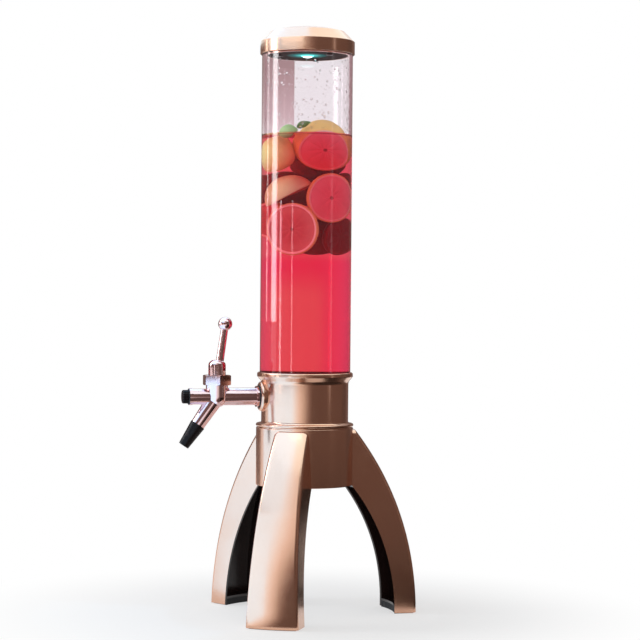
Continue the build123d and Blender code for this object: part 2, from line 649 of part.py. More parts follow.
def make_washer_nut():
    """The nut that holds the seat washer on the stem."""
    front = SEAT_BACK - FACE_GAP - SEAT_WASHER
    nut = hexagon(WASHER_NUT_WIDTH, front - WASHER_NUT_HEIGHT, front)
    return TAP_AXIS * (nut - rod(STEM_RADIUS + FACE_GAP, 0, front))


# Lid and its light


def crown_height(radius, drop):
    """Height of the lid's crown at a radius, lowered by drop."""
    curve = (LID_SHOULDER_RADIUS**2 + LID_CROWN**2) / (2 * LID_CROWN)
    top = SKIRT_Z + LID_BAND + LID_SHOULDER_HEIGHT + LID_CROWN
    return top - curve + sqrt(curve**2 - radius**2) - drop


def lid_crown(outer_corners, shoulder, drop):
    """A solid turned from these corners and closed over the axis by the crown's curve."""
    edge = (shoulder, crown_height(shoulder, drop))
    middle = (shoulder / 2, crown_height(shoulder / 2, drop))
    top = (0, crown_height(0, drop))
    sides = Polyline(top, (0, outer_corners[0][1]), *outer_corners, edge)
    outline = Plane.XZ * (Curve() + [sides, ThreePointArc(edge, middle, top)])
    return revolve(make_face(outline), Axis.Z)


def make_lid_shell():
    """The cap, with a groove for the tube's edge and bosses for the tray's screws."""
    band_top = SKIRT_Z + LID_BAND
    skirt_bore = TUBE_RADIUS + LID_GAP
    inner_wall = LID_RADIUS - LID_WALL
    slope_offset = LID_WALL * (sqrt(2) - 1)
    room_low = TUBE_TOP_Z + LID_DECK
    outside = lid_crown([(LID_RADIUS, PLUG_Z), (LID_RADIUS, band_top)], LID_SHOULDER_RADIUS, 0)
    room = lid_crown(
        [(inner_wall, room_low), (inner_wall, band_top - slope_offset)],
        LID_SHOULDER_RADIUS - slope_offset,
        LID_WALL,
    )
    post = rod(TRAY_BOSS, TRAY_TOP_Z, crown_height(0, 0))
    hole = rod(BOSS_HOLE, TRAY_TOP_Z, TRAY_TOP_Z + SCREW_BITE + FIT_GAP)
    lid = outside - room
    lid -= rod(PLUG_BORE, PLUG_Z, room_low)
    lid -= ring(2 * LID_RADIUS, PLUG_RADIUS, PLUG_Z, SKIRT_Z)
    lid -= ring(skirt_bore, PLUG_RADIUS, SKIRT_Z, TUBE_TOP_Z + FACE_GAP)
    for place in around(SCREW_ANGLES, TRAY_SCREW_CIRCLE, 0, post):
        lid += place & outside
    for place in around(SCREW_ANGLES, TRAY_SCREW_CIRCLE, 0, hole):
        lid -= place
    skirt_edge = lid.edges().filter_by(GeomType.CIRCLE).filter_by(
        lambda edge: abs(edge.radius - LID_RADIUS) < FACE_GAP
    )
    return fillet(skirt_edge, LID_EDGE)


def make_light_tray():
    """The dark plate under the lid, with the sleeve that holds the lens and the board."""
    sleeve_bore = LENS_FLANGE_RADIUS + SWING_GAP
    tray = rod(PLUG_BORE - FIT_GAP, TRAY_Z, TRAY_TOP_Z)
    tray += ring(sleeve_bore + SLEEVE_WALL, sleeve_bore, TRAY_TOP_Z, BOARD_Z)
    tray -= rod(LENS_RADIUS + SWING_GAP, TRAY_Z, TRAY_TOP_Z)
    for hole in around(SCREW_ANGLES, TRAY_SCREW_CIRCLE, 0, rod(SCREW_HOLE, TRAY_Z, TRAY_TOP_Z)):
        tray -= hole
    return tray


def make_tray_screws():
    """Screws up through the tray into the lid."""
    return Compound(around(SCREW_ANGLES, TRAY_SCREW_CIRCLE, TRAY_Z, screw(TRAY_THICKNESS + SCREW_BITE)))


def make_light_lens():
    """The domed lens, which is also the light's push button."""
    low = TRAY_TOP_Z + FACE_GAP
    dome_curve = (LENS_RADIUS**2 + LENS_DOME**2) / (2 * LENS_DOME)
    dome = Pos(0, 0, TRAY_Z - LENS_DOME + dome_curve) * Sphere(dome_curve)
    lens = rod(LENS_RADIUS, TRAY_Z - LENS_DOME, low) & (dome + rod(LENS_RADIUS, TRAY_Z, low))
    lens += rod(LENS_FLANGE_RADIUS, low, LENS_TOP_Z)
    return lens - rod(LENS_CAVITY, TRAY_Z, LENS_TOP_Z)


def make_lens_spring():
    """The coil that pushes the lens down."""
    low = LENS_TOP_Z + COIL_WIRE + FACE_GAP
    high = BOARD_Z - COIL_WIRE - FACE_GAP
    path = Helix((high - low) / COIL_TURNS, high - low, COIL_RADIUS, center=(0, 0, low))
    wire = Plane(path @ 0, z_dir=path % 0) * Circle(COIL_WIRE)
    return sweep(wire, path, is_frenet=True)


def make_light_board():
    """The round circuit board on the tray's sleeve."""
    return rod(BOARD_RADIUS, BOARD_Z, BOARD_Z + BOARD_THICKNESS)


def make_light_led():
    """The lamp under the board, pointing down."""
    dome = Pos(0, 0, BOARD_Z - LED_HEIGHT + LED_RADIUS) * Sphere(LED_RADIUS)
    barrel = rod(LED_RADIUS, BOARD_Z - LED_HEIGHT + LED_RADIUS, BOARD_Z)
    return dome + barrel + rod(LED_RADIUS + LED_RIM, BOARD_Z - 2 * LED_RIM, BOARD_Z)


def make_light_switch():
    """The small switch that the lens flange presses."""
    nub_low = LENS_TOP_Z + LENS_TRAVEL + FIT_GAP
    body_low = nub_low + SWITCH_NUB
    body = Box(SWITCH_SIZE, SWITCH_SIZE, BOARD_Z - body_low, align=BASE)
    return Pos(SWITCH_OUT, 0, 0) * (Pos(0, 0, body_low) * body + rod(SWITCH_NUB, nub_low, body_low))


def make_coin_cells():
    """Flat cells stacked on the board."""
    first = BOARD_Z + BOARD_THICKNESS
    lows = [first + CELL_HEIGHT * cell for cell in range(CELL_COUNT)]
    return Compound([rod(CELL_RADIUS, low, low + CELL_HEIGHT) for low in lows])


def make_battery_clip():
    """The spring strap over the cells."""
    low = BOARD_Z + BOARD_THICKNESS
    reach = 2 * (CELL_RADIUS + FIT_GAP)
    height = CELL_HEIGHT * CELL_COUNT + FACE_GAP
    strap = Box(reach + 2 * CLIP_THICKNESS, CLIP_WIDTH, height + CLIP_THICKNESS, align=BASE)
    strap -= Box(reach, CLIP_WIDTH, height, align=BASE)
    return Pos(0, 0, low) * strap


leg = make_leg()
foot_pad = make_foot_pad()
ball_washer_low = BALL_Z - BALL_WASHER_DROP
ball_washer_high = ball_washer_low + BALL_WASHER_HEIGHT
neck_fill = NECK_BORE - FIT_GAP

nodes = {
    "tube": make_tube(),
    "tube_seal": make_tube_seal(),
    "collar": make_collar(),
    "hub": make_hub(),
    "leg_screws": make_leg_screws(),
    "hub_screws": make_hub_screws(),
    "tap_body": make_tap_body(),
    "tap_gasket_outer": make_tap_gasket(BOSS_FACE),
    "tap_gasket_inner": make_tap_gasket(BOSS_BACK - TAP_GASKET),
    "shank_nut": make_shank_nut(),
    "tap_end_cap": make_end_cap(),
    "end_cap_washer": make_end_cap_washer(),
    "nozzle": make_nozzle(),
    "ball_washer": make_ball_seat(neck_fill, ball_washer_low, ball_washer_high),
    "friction_washer": make_ball_seat(neck_fill, ball_washer_high, NECK_TOP_Z),
    "lever_guide": make_lever_guide(),
    "bonnet_nut": make_bonnet_nut(),
    "lever": make_lever(),
    "lever_knob": make_lever_knob(),
    "plunger": make_plunger(),
    "seat_washer": make_seat_washer(),
    "washer_nut": make_washer_nut(),
    "lid_shell": make_lid_shell(),
    "light_tray": make_light_tray(),
    "tray_screws": make_tray_screws(),
    "light_lens": make_light_lens(),
    "lens_spring": make_lens_spring(),
    "light_board": make_light_board(),
    "light_led": make_light_led(),
    "light_switch": make_light_switch(),
    "coin_cells": make_coin_cells(),
    "battery_clip": make_battery_clip(),
}
for side, angle in zip(LEG_NAMES, LEG_ANGLES):
    nodes[f"leg_{side}"] = Rot(0, 0, angle) * leg
    nodes[f"foot_pad_{side}"] = Rot(0, 0, angle) * foot_pad

for name, shape in nodes.items():
    export_step(Pos(0, TOWER_Y, 0) * shape, f"parts/{name}.step")
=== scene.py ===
from math import cos, pi, radians, sin
from random import Random

import bpy
from mathutils import Matrix, Vector


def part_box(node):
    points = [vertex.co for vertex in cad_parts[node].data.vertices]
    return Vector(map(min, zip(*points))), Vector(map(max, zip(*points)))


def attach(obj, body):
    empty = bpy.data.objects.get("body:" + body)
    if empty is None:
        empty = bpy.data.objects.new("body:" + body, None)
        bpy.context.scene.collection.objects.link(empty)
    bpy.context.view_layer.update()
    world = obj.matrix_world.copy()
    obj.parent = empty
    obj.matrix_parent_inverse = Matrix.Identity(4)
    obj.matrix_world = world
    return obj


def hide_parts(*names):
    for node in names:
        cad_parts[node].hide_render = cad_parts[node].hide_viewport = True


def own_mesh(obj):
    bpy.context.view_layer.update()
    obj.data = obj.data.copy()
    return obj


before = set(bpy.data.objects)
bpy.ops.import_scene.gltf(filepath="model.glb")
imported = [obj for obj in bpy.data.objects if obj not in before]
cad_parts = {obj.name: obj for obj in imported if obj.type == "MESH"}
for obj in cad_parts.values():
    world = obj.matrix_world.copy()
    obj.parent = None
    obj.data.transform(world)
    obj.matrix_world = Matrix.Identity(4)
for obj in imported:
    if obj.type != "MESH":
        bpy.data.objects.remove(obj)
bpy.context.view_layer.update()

# A drink tower. The CAD pieces get their finishes here, and the drink, the fruit, the leaves, the drops
# and the coil over the light's button are made here.
# Lengths are in metres. Right and near are as the picture shows the tower.

tube_low, tube_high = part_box("tube")
AXIS = Vector(((tube_low.x + tube_high.x) / 2, (tube_low.y + tube_high.y) / 2, 0))
ON_AXIS = Matrix.Translation(AXIS)
TUBE_WALL = 0.003
TUBE_BORE = (tube_high.x - tube_low.x) / 2 - TUBE_WALL
COLLAR_STEP = 0.0022            # by which the collar's bore is narrower than the tube's
COLLAR_BORE = TUBE_BORE - COLLAR_STEP

VIEW = radians(75.7)            # the camera's angle about the axis
NEAR = Vector((sin(VIEW), -cos(VIEW), 0))
RIGHT = Vector((cos(VIEW), sin(VIEW), 0))
UP = Vector((0, 0, 1))

CAMERA_DISTANCE = 2.2
CAMERA_HEIGHT = 0.3484
CAMERA_FOCAL = 1994.6           # in pixels of the picture
CAMERA_SENSOR = 36              # in millimetres
PICTURE_WIDTH = 640
CAMERA_TURN = radians(0.419)    # to the right of the axis
CAMERA_DIP = radians(0.644)
CAMERA_ROLL = radians(0.47)

DRINK_LEVEL = 0.5255
DRINK_SHOULDER = tube_low.z + 0.0002        # just above the tube's end
DRINK_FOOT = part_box("shank_nut")[1].z + 0.002
DRINK_WALL = TUBE_BORE + 0.00005            # a little into the tube, so that no air shows between
CLIMB_WIDTH = 0.0032                        # of the drink's edge, where it climbs the wall
CLIMB_HEIGHT = 0.0018

DROP_WALL = TUBE_BORE + 0.00003
DROP_LOWEST = DRINK_LEVEL + 0.006
DROP_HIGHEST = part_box("light_tray")[0].z - 0.006
DROP_SMALLEST = 0.0004
DROP_GROWTH = 0.0012
DROP_BULGE = 0.6                            # of its size, by which a drop stands off the wall
DROP_PULL = 0.35
DROP_HEAVY = 0.0009                         # from this size on, a drop is fully pulled down

FRUIT_SEGMENTS = 10
FRUIT_SPECULAR = 0.08           # low, because the fruit is under the drink
LEAF_THICKNESS = 0.0004
WATER_IOR = 1.33
ACRYLIC_IOR = 1.49

LENS_RADIUS = 0.0077
LAMP_REACH = 0.024              # of the painted glow of the lamp's light on the tray

LEG_ANGLES = {"leg_left": 210, "leg_right": 330, "leg_rear": 90}
LEG_FOOT_HALF = 0.029
LEG_TAPER = 0.049               # half width lost in each metre of height
LEG_WALL = 0.003
LEG_WEB_TOP = 0.15              # a leg's web below this height is coloured dark, as painted shade

FLOOR_REACH = 6
WHITE = (1, 1, 1, 1)
PALE = (0.78, 0.95, 1.0)
WARM = (1.0, 0.68, 0.60)
COOL = (0.45, 0.72, 1.0)
COOL_STRENGTH = 2.7
COOL_SIDE = 32                  # bearings between which the boards turn from cool light to dark
DARK_SIDE = -20


def spot(right, near, height):
    """A point given from the tower's axis as the picture shows it."""
    return AXIS + RIGHT * right + NEAR * near + UP * height


def bearing(left):
    """The level direction this many degrees left of the camera, seen from the tower."""
    return NEAR * cos(radians(left)) - RIGHT * sin(radians(left))


# Shaders


def srgb(red, green, blue):
    """A colour from 0 to 255, as it should look, in the scale that the shaders use."""
    shares = [level / 255 for level in (red, green, blue)]
    return (*[s / 12.92 if s <= 0.04045 else ((s + 0.055) / 1.055) ** 2.4 for s in shares], 1)


class Term:
    """One output of a finish's nodes. Sums written with it add Math nodes."""

    def __init__(self, finish, socket):
        self.finish = finish
        self.socket = socket

    def math(self, operation, *values):
        return self.finish.node("Math", {"operation": operation}, dict(enumerate(values)))

    def __add__(self, other):
        return self.math("ADD", self, other)

    def __radd__(self, other):
        return self.math("ADD", other, self)

    def __sub__(self, other):
        return self.math("SUBTRACT", self, other)

    def __rsub__(self, other):
        return self.math("SUBTRACT", other, self)

    def __mul__(self, other):
        return self.math("MULTIPLY", self, other)

    def __rmul__(self, other):
        return self.math("MULTIPLY", other, self)

    def __truediv__(self, other):
        return self.math("DIVIDE", self, other)

    def __abs__(self):
        return self.math("ABSOLUTE", self)

    def most(self, other):
        return self.math("MAXIMUM", self, other)

    def root(self):
        return self.math("SQRT", self)

    def sine(self):
        return self.math("SINE", self)

    def angle(self, other):
        """The angle whose tangent is this over the other, all the way round."""
        return self.math("ARCTAN2", self, other)

    def step(self, low, high):
        """0 below low, 1 above high, and smooth between."""
        ends = {"Value": self, "From Min": low, "From Max": high}
        return self.finish.node("MapRange", {"interpolation_type": "SMOOTHSTEP"}, ends)


class Finish:
    """A material, or the world, built node by node."""

    def __init__(self, owner):
        self.owner = owner if isinstance(owner, bpy.types.World) else bpy.data.materials.new(owner)
        self.owner.use_nodes = True
        self.tree = self.owner.node_tree
        self.tree.nodes.clear()

    def node(self, kind, settings=None, inputs=None, output=0):
        """One node of a kind, with its settings and the values or links of its sockets."""
        node = self.tree.nodes.new("ShaderNode" + kind)
        for key, value in (settings or {}).items():
            if key == "stops":
                for place, _ in value[2:]:
                    node.color_ramp.elements.new(place)
                for element, (place, colour) in zip(node.color_ramp.elements, value):
                    element.position = place
                    element.color = colour
            else:
                setattr(node, key, value)
        for key, value in (inputs or {}).items():
            if isinstance(value, Term):
                self.tree.links.new(value.socket, node.inputs[key])
            else:
                node.inputs[key].default_value = value
        return Term(self, node.outputs[output] if len(node.outputs) else None)

    def place(self):
        return self.node("TexCoord", output="Object")

    def parts(self, vector, names):
        return [self.node("SeparateXYZ", None, {0: vector}, name) for name in names]

    def axes(self, names="XYZ"):
        """The x, y and z of a point of the piece, or those that are named."""
        return self.parts(self.place(), names)

    def inside_leg(self, angle):
        """One where the surface looks into the hollow of the leg that stands at this angle."""
        along_x, along_y = cos(radians(angle)), sin(radians(angle))
        x, y, z = self.axes()
        to_x, to_y, to_z = self.parts(self.node("NewGeometry", output="Normal"), "XYZ")
        side = (y - AXIS.y) * along_x - x * along_y
        across = to_y * along_x - to_x * along_y
        outward = to_x * along_x + to_y * along_y
        half_width = LEG_FOOT_HALF - z * LEG_TAPER
        walls = (side * across * -1).step(0.002, 0.006)
        back = (outward * -1).step(0.3, 0.5) * (half_width - LEG_WALL - abs(side)).step(-0.0001, 0.0001)
        web = to_z.step(0.75, 0.85) * (LEG_WEB_TOP - z).step(0.0, 0.01)
        return walls.most(back).most(web)

    def from_axis(self):
        """How far a point of a CAD piece is from the tower's axis."""
        x, y = self.axes("XY")
        return (x * x + (y - AXIS.y) * (y - AXIS.y)).root()

    def noise(self, scale, detail=2.0, at=None):
        inputs = {"Vector": at or self.place(), "Scale": scale, "Detail": detail}
        return self.node("TexNoise", None, inputs)

    def cells(self, scale, distance="EUCLIDEAN"):
        """How far a point is from the middle of its cell, in a pattern of cells."""
        inputs = {"Vector": self.place(), "Scale": scale}
        return self.node("TexVoronoi", {"distance": distance}, inputs, "Distance")

    def stretched(self, x, y, z):
        """The point's place with its axes scaled, for streaks."""
        return self.node("Mapping", None, {"Vector": self.place(), "Scale": (x, y, z)})

    def mix(self, share, first, second):
        settings = {"data_type": "RGBA"}
        return self.node("Mix", settings, {0: share, 6: first, 7: second}, 2)

    def bump(self, height, depth, strength=1.0):
        inputs = {"Height": height, "Distance": depth, "Strength": strength}
        return self.node("Bump", None, inputs)

    def shader(self, **inputs):
        named = {key.replace("_", " "): value for key, value in inputs.items()}
        return self.node("BsdfPrincipled", None, named)

    def blend(self, share, first, second):
        return self.node("MixShader", None, {0: share, 1: first, 2: second})

    def path(self, kind):
        return self.node("LightPath", output=kind)

    def seen(self):
        """One where the picture shows the surface, plainly, in a shiny piece or through a clear one."""
        plainly = self.path("Is Camera Ray")
        shiny = self.path("Is Glossy Ray")
        through = self.path("Is Transmission Ray")
        return plainly.most(shiny).most(through)

    def glow(self, colour, strength):
        return self.node("Emission", None, {"Color": colour, "Strength": strength})

    def see_through(self, shader, tint):
        """The shader, but lamps shine through it with this tint."""
        clear = self.node("BsdfTransparent", None, {"Color": tint})
        return self.blend(self.path("Is Shadow Ray"), shader, clear)

    def done(self, surface, volume=None):
        world = isinstance(self.owner, bpy.types.World)
        inputs = {"Surface": surface, "Volume": volume} if volume else {"Surface": surface}
        self.node("OutputWorld" if world else "OutputMaterial", None, inputs)
        return self.owner


# Finishes of the CAD pieces


def champagne_paint(name="champagne_paint", leg=None):
    """Metallic paint with fine flakes and a clear coat.

    For a leg, given by its angle about the axis, the inside of its hollow is coloured dark brown, not
    metallic and without coat: painted shade.
    """
    finish = Finish(name)
    flake = finish.noise(2600, 1)
    cloud = finish.noise(11, 3)
    smear = finish.noise(38, 4).step(0.42, 0.72)
    wave = finish.noise(160, 1)
    colour = finish.mix(cloud, srgb(212, 158, 130), srgb(228, 180, 152))
    colour = finish.mix(flake.step(0.58, 0.72) * 0.3, colour, srgb(244, 214, 192))
    painted = 1.0
    if leg is not None:
        # Painted shade: inside a leg's hollow, the walls, back and web are coloured dark brown, with no
        # metal or coat.
        painted = 1 - finish.inside_leg(leg)
        colour = finish.mix(painted, srgb(34, 22, 20), colour)
    paint = finish.shader(
        Base_Color=colour,
        Metallic=0.97 * painted,
        Roughness=0.17 + 0.05 * smear + 0.04 * flake,
        Coat_Weight=(0.5 - 0.15 * smear) * painted,
        Coat_Roughness=0.06,
        Normal=finish.bump(flake * 0.06 + wave, 0.00003),
    )
    return finish.done(paint)


def rosy_chrome():
    """Polished plating with finger smudges and hairline scratches."""
    finish = Finish("rosy_chrome")
    smudge = finish.noise(90, 4).step(0.5, 0.78)
    hairline = finish.noise(160, 2, finish.stretched(1, 1, 14))
    plating = finish.shader(
        Base_Color=finish.mix(smudge, srgb(224, 190, 190), srgb(202, 168, 168)),
        Metallic=1.0,
        Roughness=0.06 + 0.1 * smudge + 0.04 * hairline,
        Normal=finish.bump(hairline, 0.00002, 0.5),
    )
    return finish.done(plating)


def black_moulding():
    """Black plastic with a fine moulded grain and paler scuffs."""
    finish = Finish("black_moulding")
    grain = finish.noise(1900, 2)
    scuff = finish.noise(130, 5).step(0.56, 0.74)
    colour = finish.mix(scuff, srgb(20, 14, 14), srgb(42, 33, 33))
    plastic = finish.shader(
        Base_Color=colour,
        Roughness=0.3 + 0.12 * grain + 0.14 * scuff,
        Specular_IOR_Level=0.14,
        Normal=finish.bump(grain, 0.00008, 0.6),
    )
    return finish.done(plastic)


def tray_plastic():
    """Dark plastic under the lid, with turned rings, and a painted glow round its middle where the
    lamp's light falls.
    """
    finish = Finish("tray_plastic")
    out = finish.from_axis()
    rings = (out * 2600).sine()
    grain = finish.noise(1500, 2)
    # Painted light: the lamp's glow on the tray, teal-white in the middle and fading out to LAMP_REACH.
    painted_lamp_spill = finish.node("ValToRGB", {"stops": [
        (0.0, (0.3, 1.0, 0.94, 1)), (0.38, (0.06, 0.60, 0.57, 1)), (0.62, (0.0, 0.16, 0.16, 1)),
        (1.0, (0.0, 0.0, 0.0, 1)),
    ]}, {0: out / LAMP_REACH})
    plastic = finish.shader(
        Base_Color=finish.mix(grain, srgb(38, 33, 31), srgb(54, 46, 43)),
        Roughness=0.6 + 0.1 * grain,
        Specular_IOR_Level=0.02,
        Emission_Color=painted_lamp_spill,
        Emission_Strength=1.0,
        Normal=finish.bump(rings + grain, 0.00005, 0.5),
    )
    return finish.done(plastic)


def turned_steel(name, bright, spots):
    """Turned steel with fine tool lines and a few dull spots."""
    finish = Finish(name)
    lines = finish.noise(240, 2, finish.stretched(1, 1, 22))
    dull = finish.noise(170, 4).step(0.55, 0.7)
    colour = finish.mix(dull, bright, spots)
    steel = finish.shader(
        Base_Color=colour,
        Metallic=1.0,
        Roughness=0.24 + 0.14 * lines + 0.12 * dull,
        Normal=finish.bump(lines, 0.00003, 0.6),
    )
    return finish.done(steel)


def black_rubber():
    """Matt rubber with a mould grain and dust."""
    finish = Finish("black_rubber")
    grain = finish.noise(1300, 3)
    dust = finish.noise(75, 5).step(0.5, 0.78)
    rubber = finish.shader(
        Base_Color=finish.mix(dust, srgb(28, 27, 27), srgb(62, 58, 55)),
        Roughness=0.72 + 0.18 * grain,
        Normal=finish.bump(grain, 0.00012, 0.7),
    )
    return finish.done(rubber)


def white_washer():
    """Milky washer plastic, faintly speckled."""
    finish = Finish("white_washer")
    speck = finish.noise(620, 3)
    washer = finish.shader(
        Base_Color=finish.mix(speck, srgb(222, 219, 210), srgb(238, 237, 232)),
        Roughness=0.34 + 0.16 * speck,
        Normal=finish.bump(speck, 0.00005, 0.5),
    )
    return finish.done(washer)


def clear_acrylic():
    """The tube's wall: clear, with a breath of lavender and faint drawing lines along it."""
    finish = Finish("clear_acrylic")
    lines = finish.noise(60, 2, finish.stretched(1, 1, 0.02))
    smear = finish.noise(26, 4).step(0.55, 0.8)
    wall = finish.shader(
        Base_Color=finish.mix(lines, (0.975, 0.95, 0.97, 1), (0.94, 0.90, 0.93, 1)),
        Roughness=0.004 + 0.02 * smear,
        IOR=ACRYLIC_IOR,
        Transmission_Weight=1.0,
        Normal=finish.bump(lines, 0.00004, 0.35),
    )
    return finish.done(finish.see_through(wall, (0.97, 0.95, 0.96, 1)))


def glowing_lens():
    """The button that covers the lamp, white in its middle and deep teal at its edge."""
    finish = Finish("glowing_lens")
    frost = finish.noise(900, 2)
    glow = finish.node("ValToRGB", {"stops": [
        (0.0, (0.9, 1.0, 0.97, 1)), (0.6, (0.7, 1.0, 0.94, 1)), (0.85, (0.04, 0.66, 0.62, 1)),
        (1.0, (0.0, 0.2, 0.2, 1)),
    ]}, {0: finish.from_axis() / LENS_RADIUS})
    lens = finish.shader(
        Base_Color=finish.mix(frost, srgb(30, 90, 88), srgb(60, 130, 126)),
        Roughness=0.22 + 0.16 * frost,
        Emission_Color=glow,
        Emission_Strength=3.2,
        Normal=finish.bump(frost, 0.00006, 0.4),
    )
    return finish.done(lens)


def lamp_glow():
    """The lamp itself, a cool white with a faint mottle."""
    finish = Finish("lamp_glow")
    die = finish.noise(700, 1)
    lamp = finish.shader(
        Base_Color=srgb(220, 255, 246),
        Roughness=0.2,
        Emission_Color=finish.mix(die, (0.55, 1.0, 0.9, 1), (0.9, 1.0, 0.97, 1)),
        Emission_Strength=6.0,
    )
    return finish.done(lamp)


def circuit_board():
    """Green board lacquer over paler copper tracks."""
    finish = Finish("circuit_board")
    track = finish.cells(330, "MANHATTAN").step(0.42, 0.5)
    weave = finish.noise(1700, 1)
    board = finish.shader(
        Base_Color=finish.mix(track, srgb(22, 86, 52), srgb(70, 128, 74)),
        Roughness=0.3 + 0.15 * weave,
        Metallic=0.25 * track,
        Normal=finish.bump(track + 0.3 * weave, 0.00005, 0.6),
    )
    return finish.done(board)


# Finishes of the drink and what floats in it


def red_drink():
    """Clear red drink, tinted deepest just below the fruit, as painted shadow of the fruit.

    It is thinner at its top left, and a streaky paler band runs up the middle of the deep part: painted
    light, with painted shade in the deep tint on each side.
    """
    # Heights, or places to the right, where a change of tint starts and ends
    fruit_foot = (0.386, 0.396)
    thin_edge = (-0.024, -0.002)
    thin_foot = (0.45, 0.49)
    band_middle = -0.010
    band_edge = (0.018, 0.034)
    band_top = (0.345, 0.385)
    finish = Finish("red_drink")
    x, y, z = finish.axes()
    right = x * RIGHT.x + y * RIGHT.y
    murk = finish.noise(34, 3)
    streak = finish.noise(90, 3, finish.stretched(1, 1, 0.05))
    # Painted light: a paler band just left of the axis, below the fruit, with upright streaks; the deep
    # tint on each side is painted shade.
    band = (1 - abs(right - band_middle).step(*band_edge)) * (1 - z.step(*band_top))
    thinned = (1 - right.step(*thin_edge)) * z.step(*thin_foot)
    among_fruit = finish.mix(murk, (1.0, 0.40, 0.53, 1), (1.0, 0.48, 0.59, 1))
    among_fruit = finish.mix(thinned, among_fruit, (1.0, 0.84, 0.72, 1))
    painted_shade_and_light_below = finish.mix(band * (0.6 + 0.8 * streak), (1.0, 0.22, 0.50, 1), (1.0, 0.62, 0.60, 1))
    drink = finish.shader(
        # Just under the fruit the tint is deep all round: painted shadow of the fruit.
        Base_Color=finish.mix(z.step(*fruit_foot), painted_shade_and_light_below, among_fruit),
        Roughness=0.0,
        IOR=WATER_IOR,
        Transmission_Weight=1.0,
    )
    depth = finish.node("VolumeAbsorption", None, {"Color": (0.97, 0.0, 0.12, 1), "Density": 24.0})
    return finish.done(finish.see_through(drink, (1.0, 0.9, 0.9, 1)), depth)


def water_drops():
    """Beads of water on the inside of the tube."""
    finish = Finish("water_drops")
    haze = finish.noise(420, 2)
    water = finish.shader(
        Base_Color=finish.mix(haze, (1.0, 0.99, 0.99, 1), (0.96, 0.93, 0.94, 1)),
        Roughness=0.0,
        IOR=WATER_IOR,
        Transmission_Weight=1.0,
    )
    return finish.done(finish.see_through(water, (1.0, 0.98, 0.98, 1)))


def fruit_flesh(name, juice, deep, edge):
    """A cut face: juicy segments with thin walls between them and fine sacs along them."""
    finish = Finish(name)
    x, y = finish.axes("XY")
    radius = (x * x + y * y).root()
    angle = y.angle(x)
    swing = abs((angle * (FRUIT_SEGMENTS / 2)).sine())
    wall = 1 - (radius * swing * (2 / FRUIT_SEGMENTS)).step(0.0001, 0.0009)
    outwards = finish.node("CombineXYZ", None, {0: angle * 26, 1: radius * 420, 2: 0.0})
    sacs = finish.noise(1, 3, outwards)
    blotch = finish.noise(90, 3)
    core = 1 - radius.step(0.0010, 0.0028)
    rim = radius.step(0.010, 0.025)
    colour = finish.mix(0.5 * sacs + 0.5 * blotch, deep, juice)
    colour = finish.mix(wall * 0.1 + rim * 0.35, colour, edge)
    colour = finish.mix(core * 0.7, colour, srgb(120, 40, 36))
    flesh = finish.shader(
        Specular_IOR_Level=FRUIT_SPECULAR,
        Base_Color=colour,
        Roughness=0.3 + 0.2 * sacs,
        Normal=finish.bump(sacs - 0.4 * wall, 0.0004, 0.5),
    )
    return finish.done(flesh)


def fruit_pith(name, pale, stained):
    """The spongy ring under the peel, stained by the drink."""
    finish = Finish(name)
    sponge = finish.noise(800, 3)
    stain = finish.noise(90, 3)
    pith = finish.shader(
        Specular_IOR_Level=FRUIT_SPECULAR,
        Base_Color=finish.mix(stain, pale, stained),
        Roughness=0.55 + 0.2 * sponge,
        Normal=finish.bump(sponge, 0.0003, 0.5),
    )
    return finish.done(pith)


def fruit_peel(name, ripe, pale):
    """Waxy peel with oil pores."""
    finish = Finish(name)
    pores = finish.cells(620)
    tone = finish.noise(46, 4)
    peel = finish.shader(
        Specular_IOR_Level=FRUIT_SPECULAR,
        Base_Color=finish.mix(tone, ripe, pale),
        Roughness=0.3 + 0.14 * tone,
        Normal=finish.bump(pores.step(0.05, 0.55), 0.0005, 0.7),
    )
    return finish.done(peel)


def mint_leaf():
    """Green leaf, paler along its veins."""
    finish = Finish("mint_leaf")
    x, y = finish.axes("XY")
    vein = abs(((abs(x) - y * 0.9) * 1500).sine())
    midrib = 1 - abs(x).step(0.0002, 0.0007)
    pale = (1 - vein.step(0.0, 0.35)).most(midrib)
    tone = finish.noise(300, 3)
    colour = finish.mix(tone, srgb(64, 118, 58), srgb(112, 160, 88))
    leaf = finish.shader(
        Base_Color=finish.mix(pale * 0.6, colour, srgb(164, 198, 136)),
        Roughness=0.4 + 0.15 * tone,
        Normal=finish.bump(pale, 0.0003, 0.6),
    )
    return finish.done(leaf)


# Meshes


def piece(name, points, faces, materials, body="tower", at=None, indices=None, sharp=40):
    """A smooth mesh piece with sharp edges past an angle, which rides on a body if one is given."""
    mesh = bpy.data.meshes.new(name)
    mesh.from_pydata(points, [], faces)
    for material in materials:
        mesh.materials.append(material)
    if indices:
        mesh.polygons.foreach_set("material_index", indices)
    mesh.polygons.foreach_set("use_smooth", [True] * len(mesh.polygons))
    mesh.set_sharp_from_angle(angle=radians(sharp))
    mesh.update()
    thing = bpy.data.objects.new(name, mesh)
    bpy.context.scene.collection.objects.link(thing)
    if at:
        thing.matrix_world = at
    if body:
        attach(thing, body)
    return thing


def skin(rings, first=0):
    """Faces between rings of points. A ring of one point is a tip."""
    faces = []
    start = first
    for low, high in zip(rings, rings[1:]):
        above = start + len(low)
        count = max(len(low), len(high))
        for step in range(count):
            after = (step + 1) % count
            corners = [start + step % len(low), start + after % len(low)]
            corners += [above + after % len(high), above + step % len(high)]
            faces.append(list(dict.fromkeys(corners)))
        start = above
    return faces


def turned(profile, steps):
    """Rings of points about Z from (radius, height) pairs."""
    rings = []
    for radius, height in profile:
        angles = [2 * pi * step / steps for step in range(steps if radius > 0 else 1)]
        rings.append([(radius * cos(a), radius * sin(a), height) for a in angles])
    return rings


def flat(rings):
    return [point for ring in rings for point in ring]


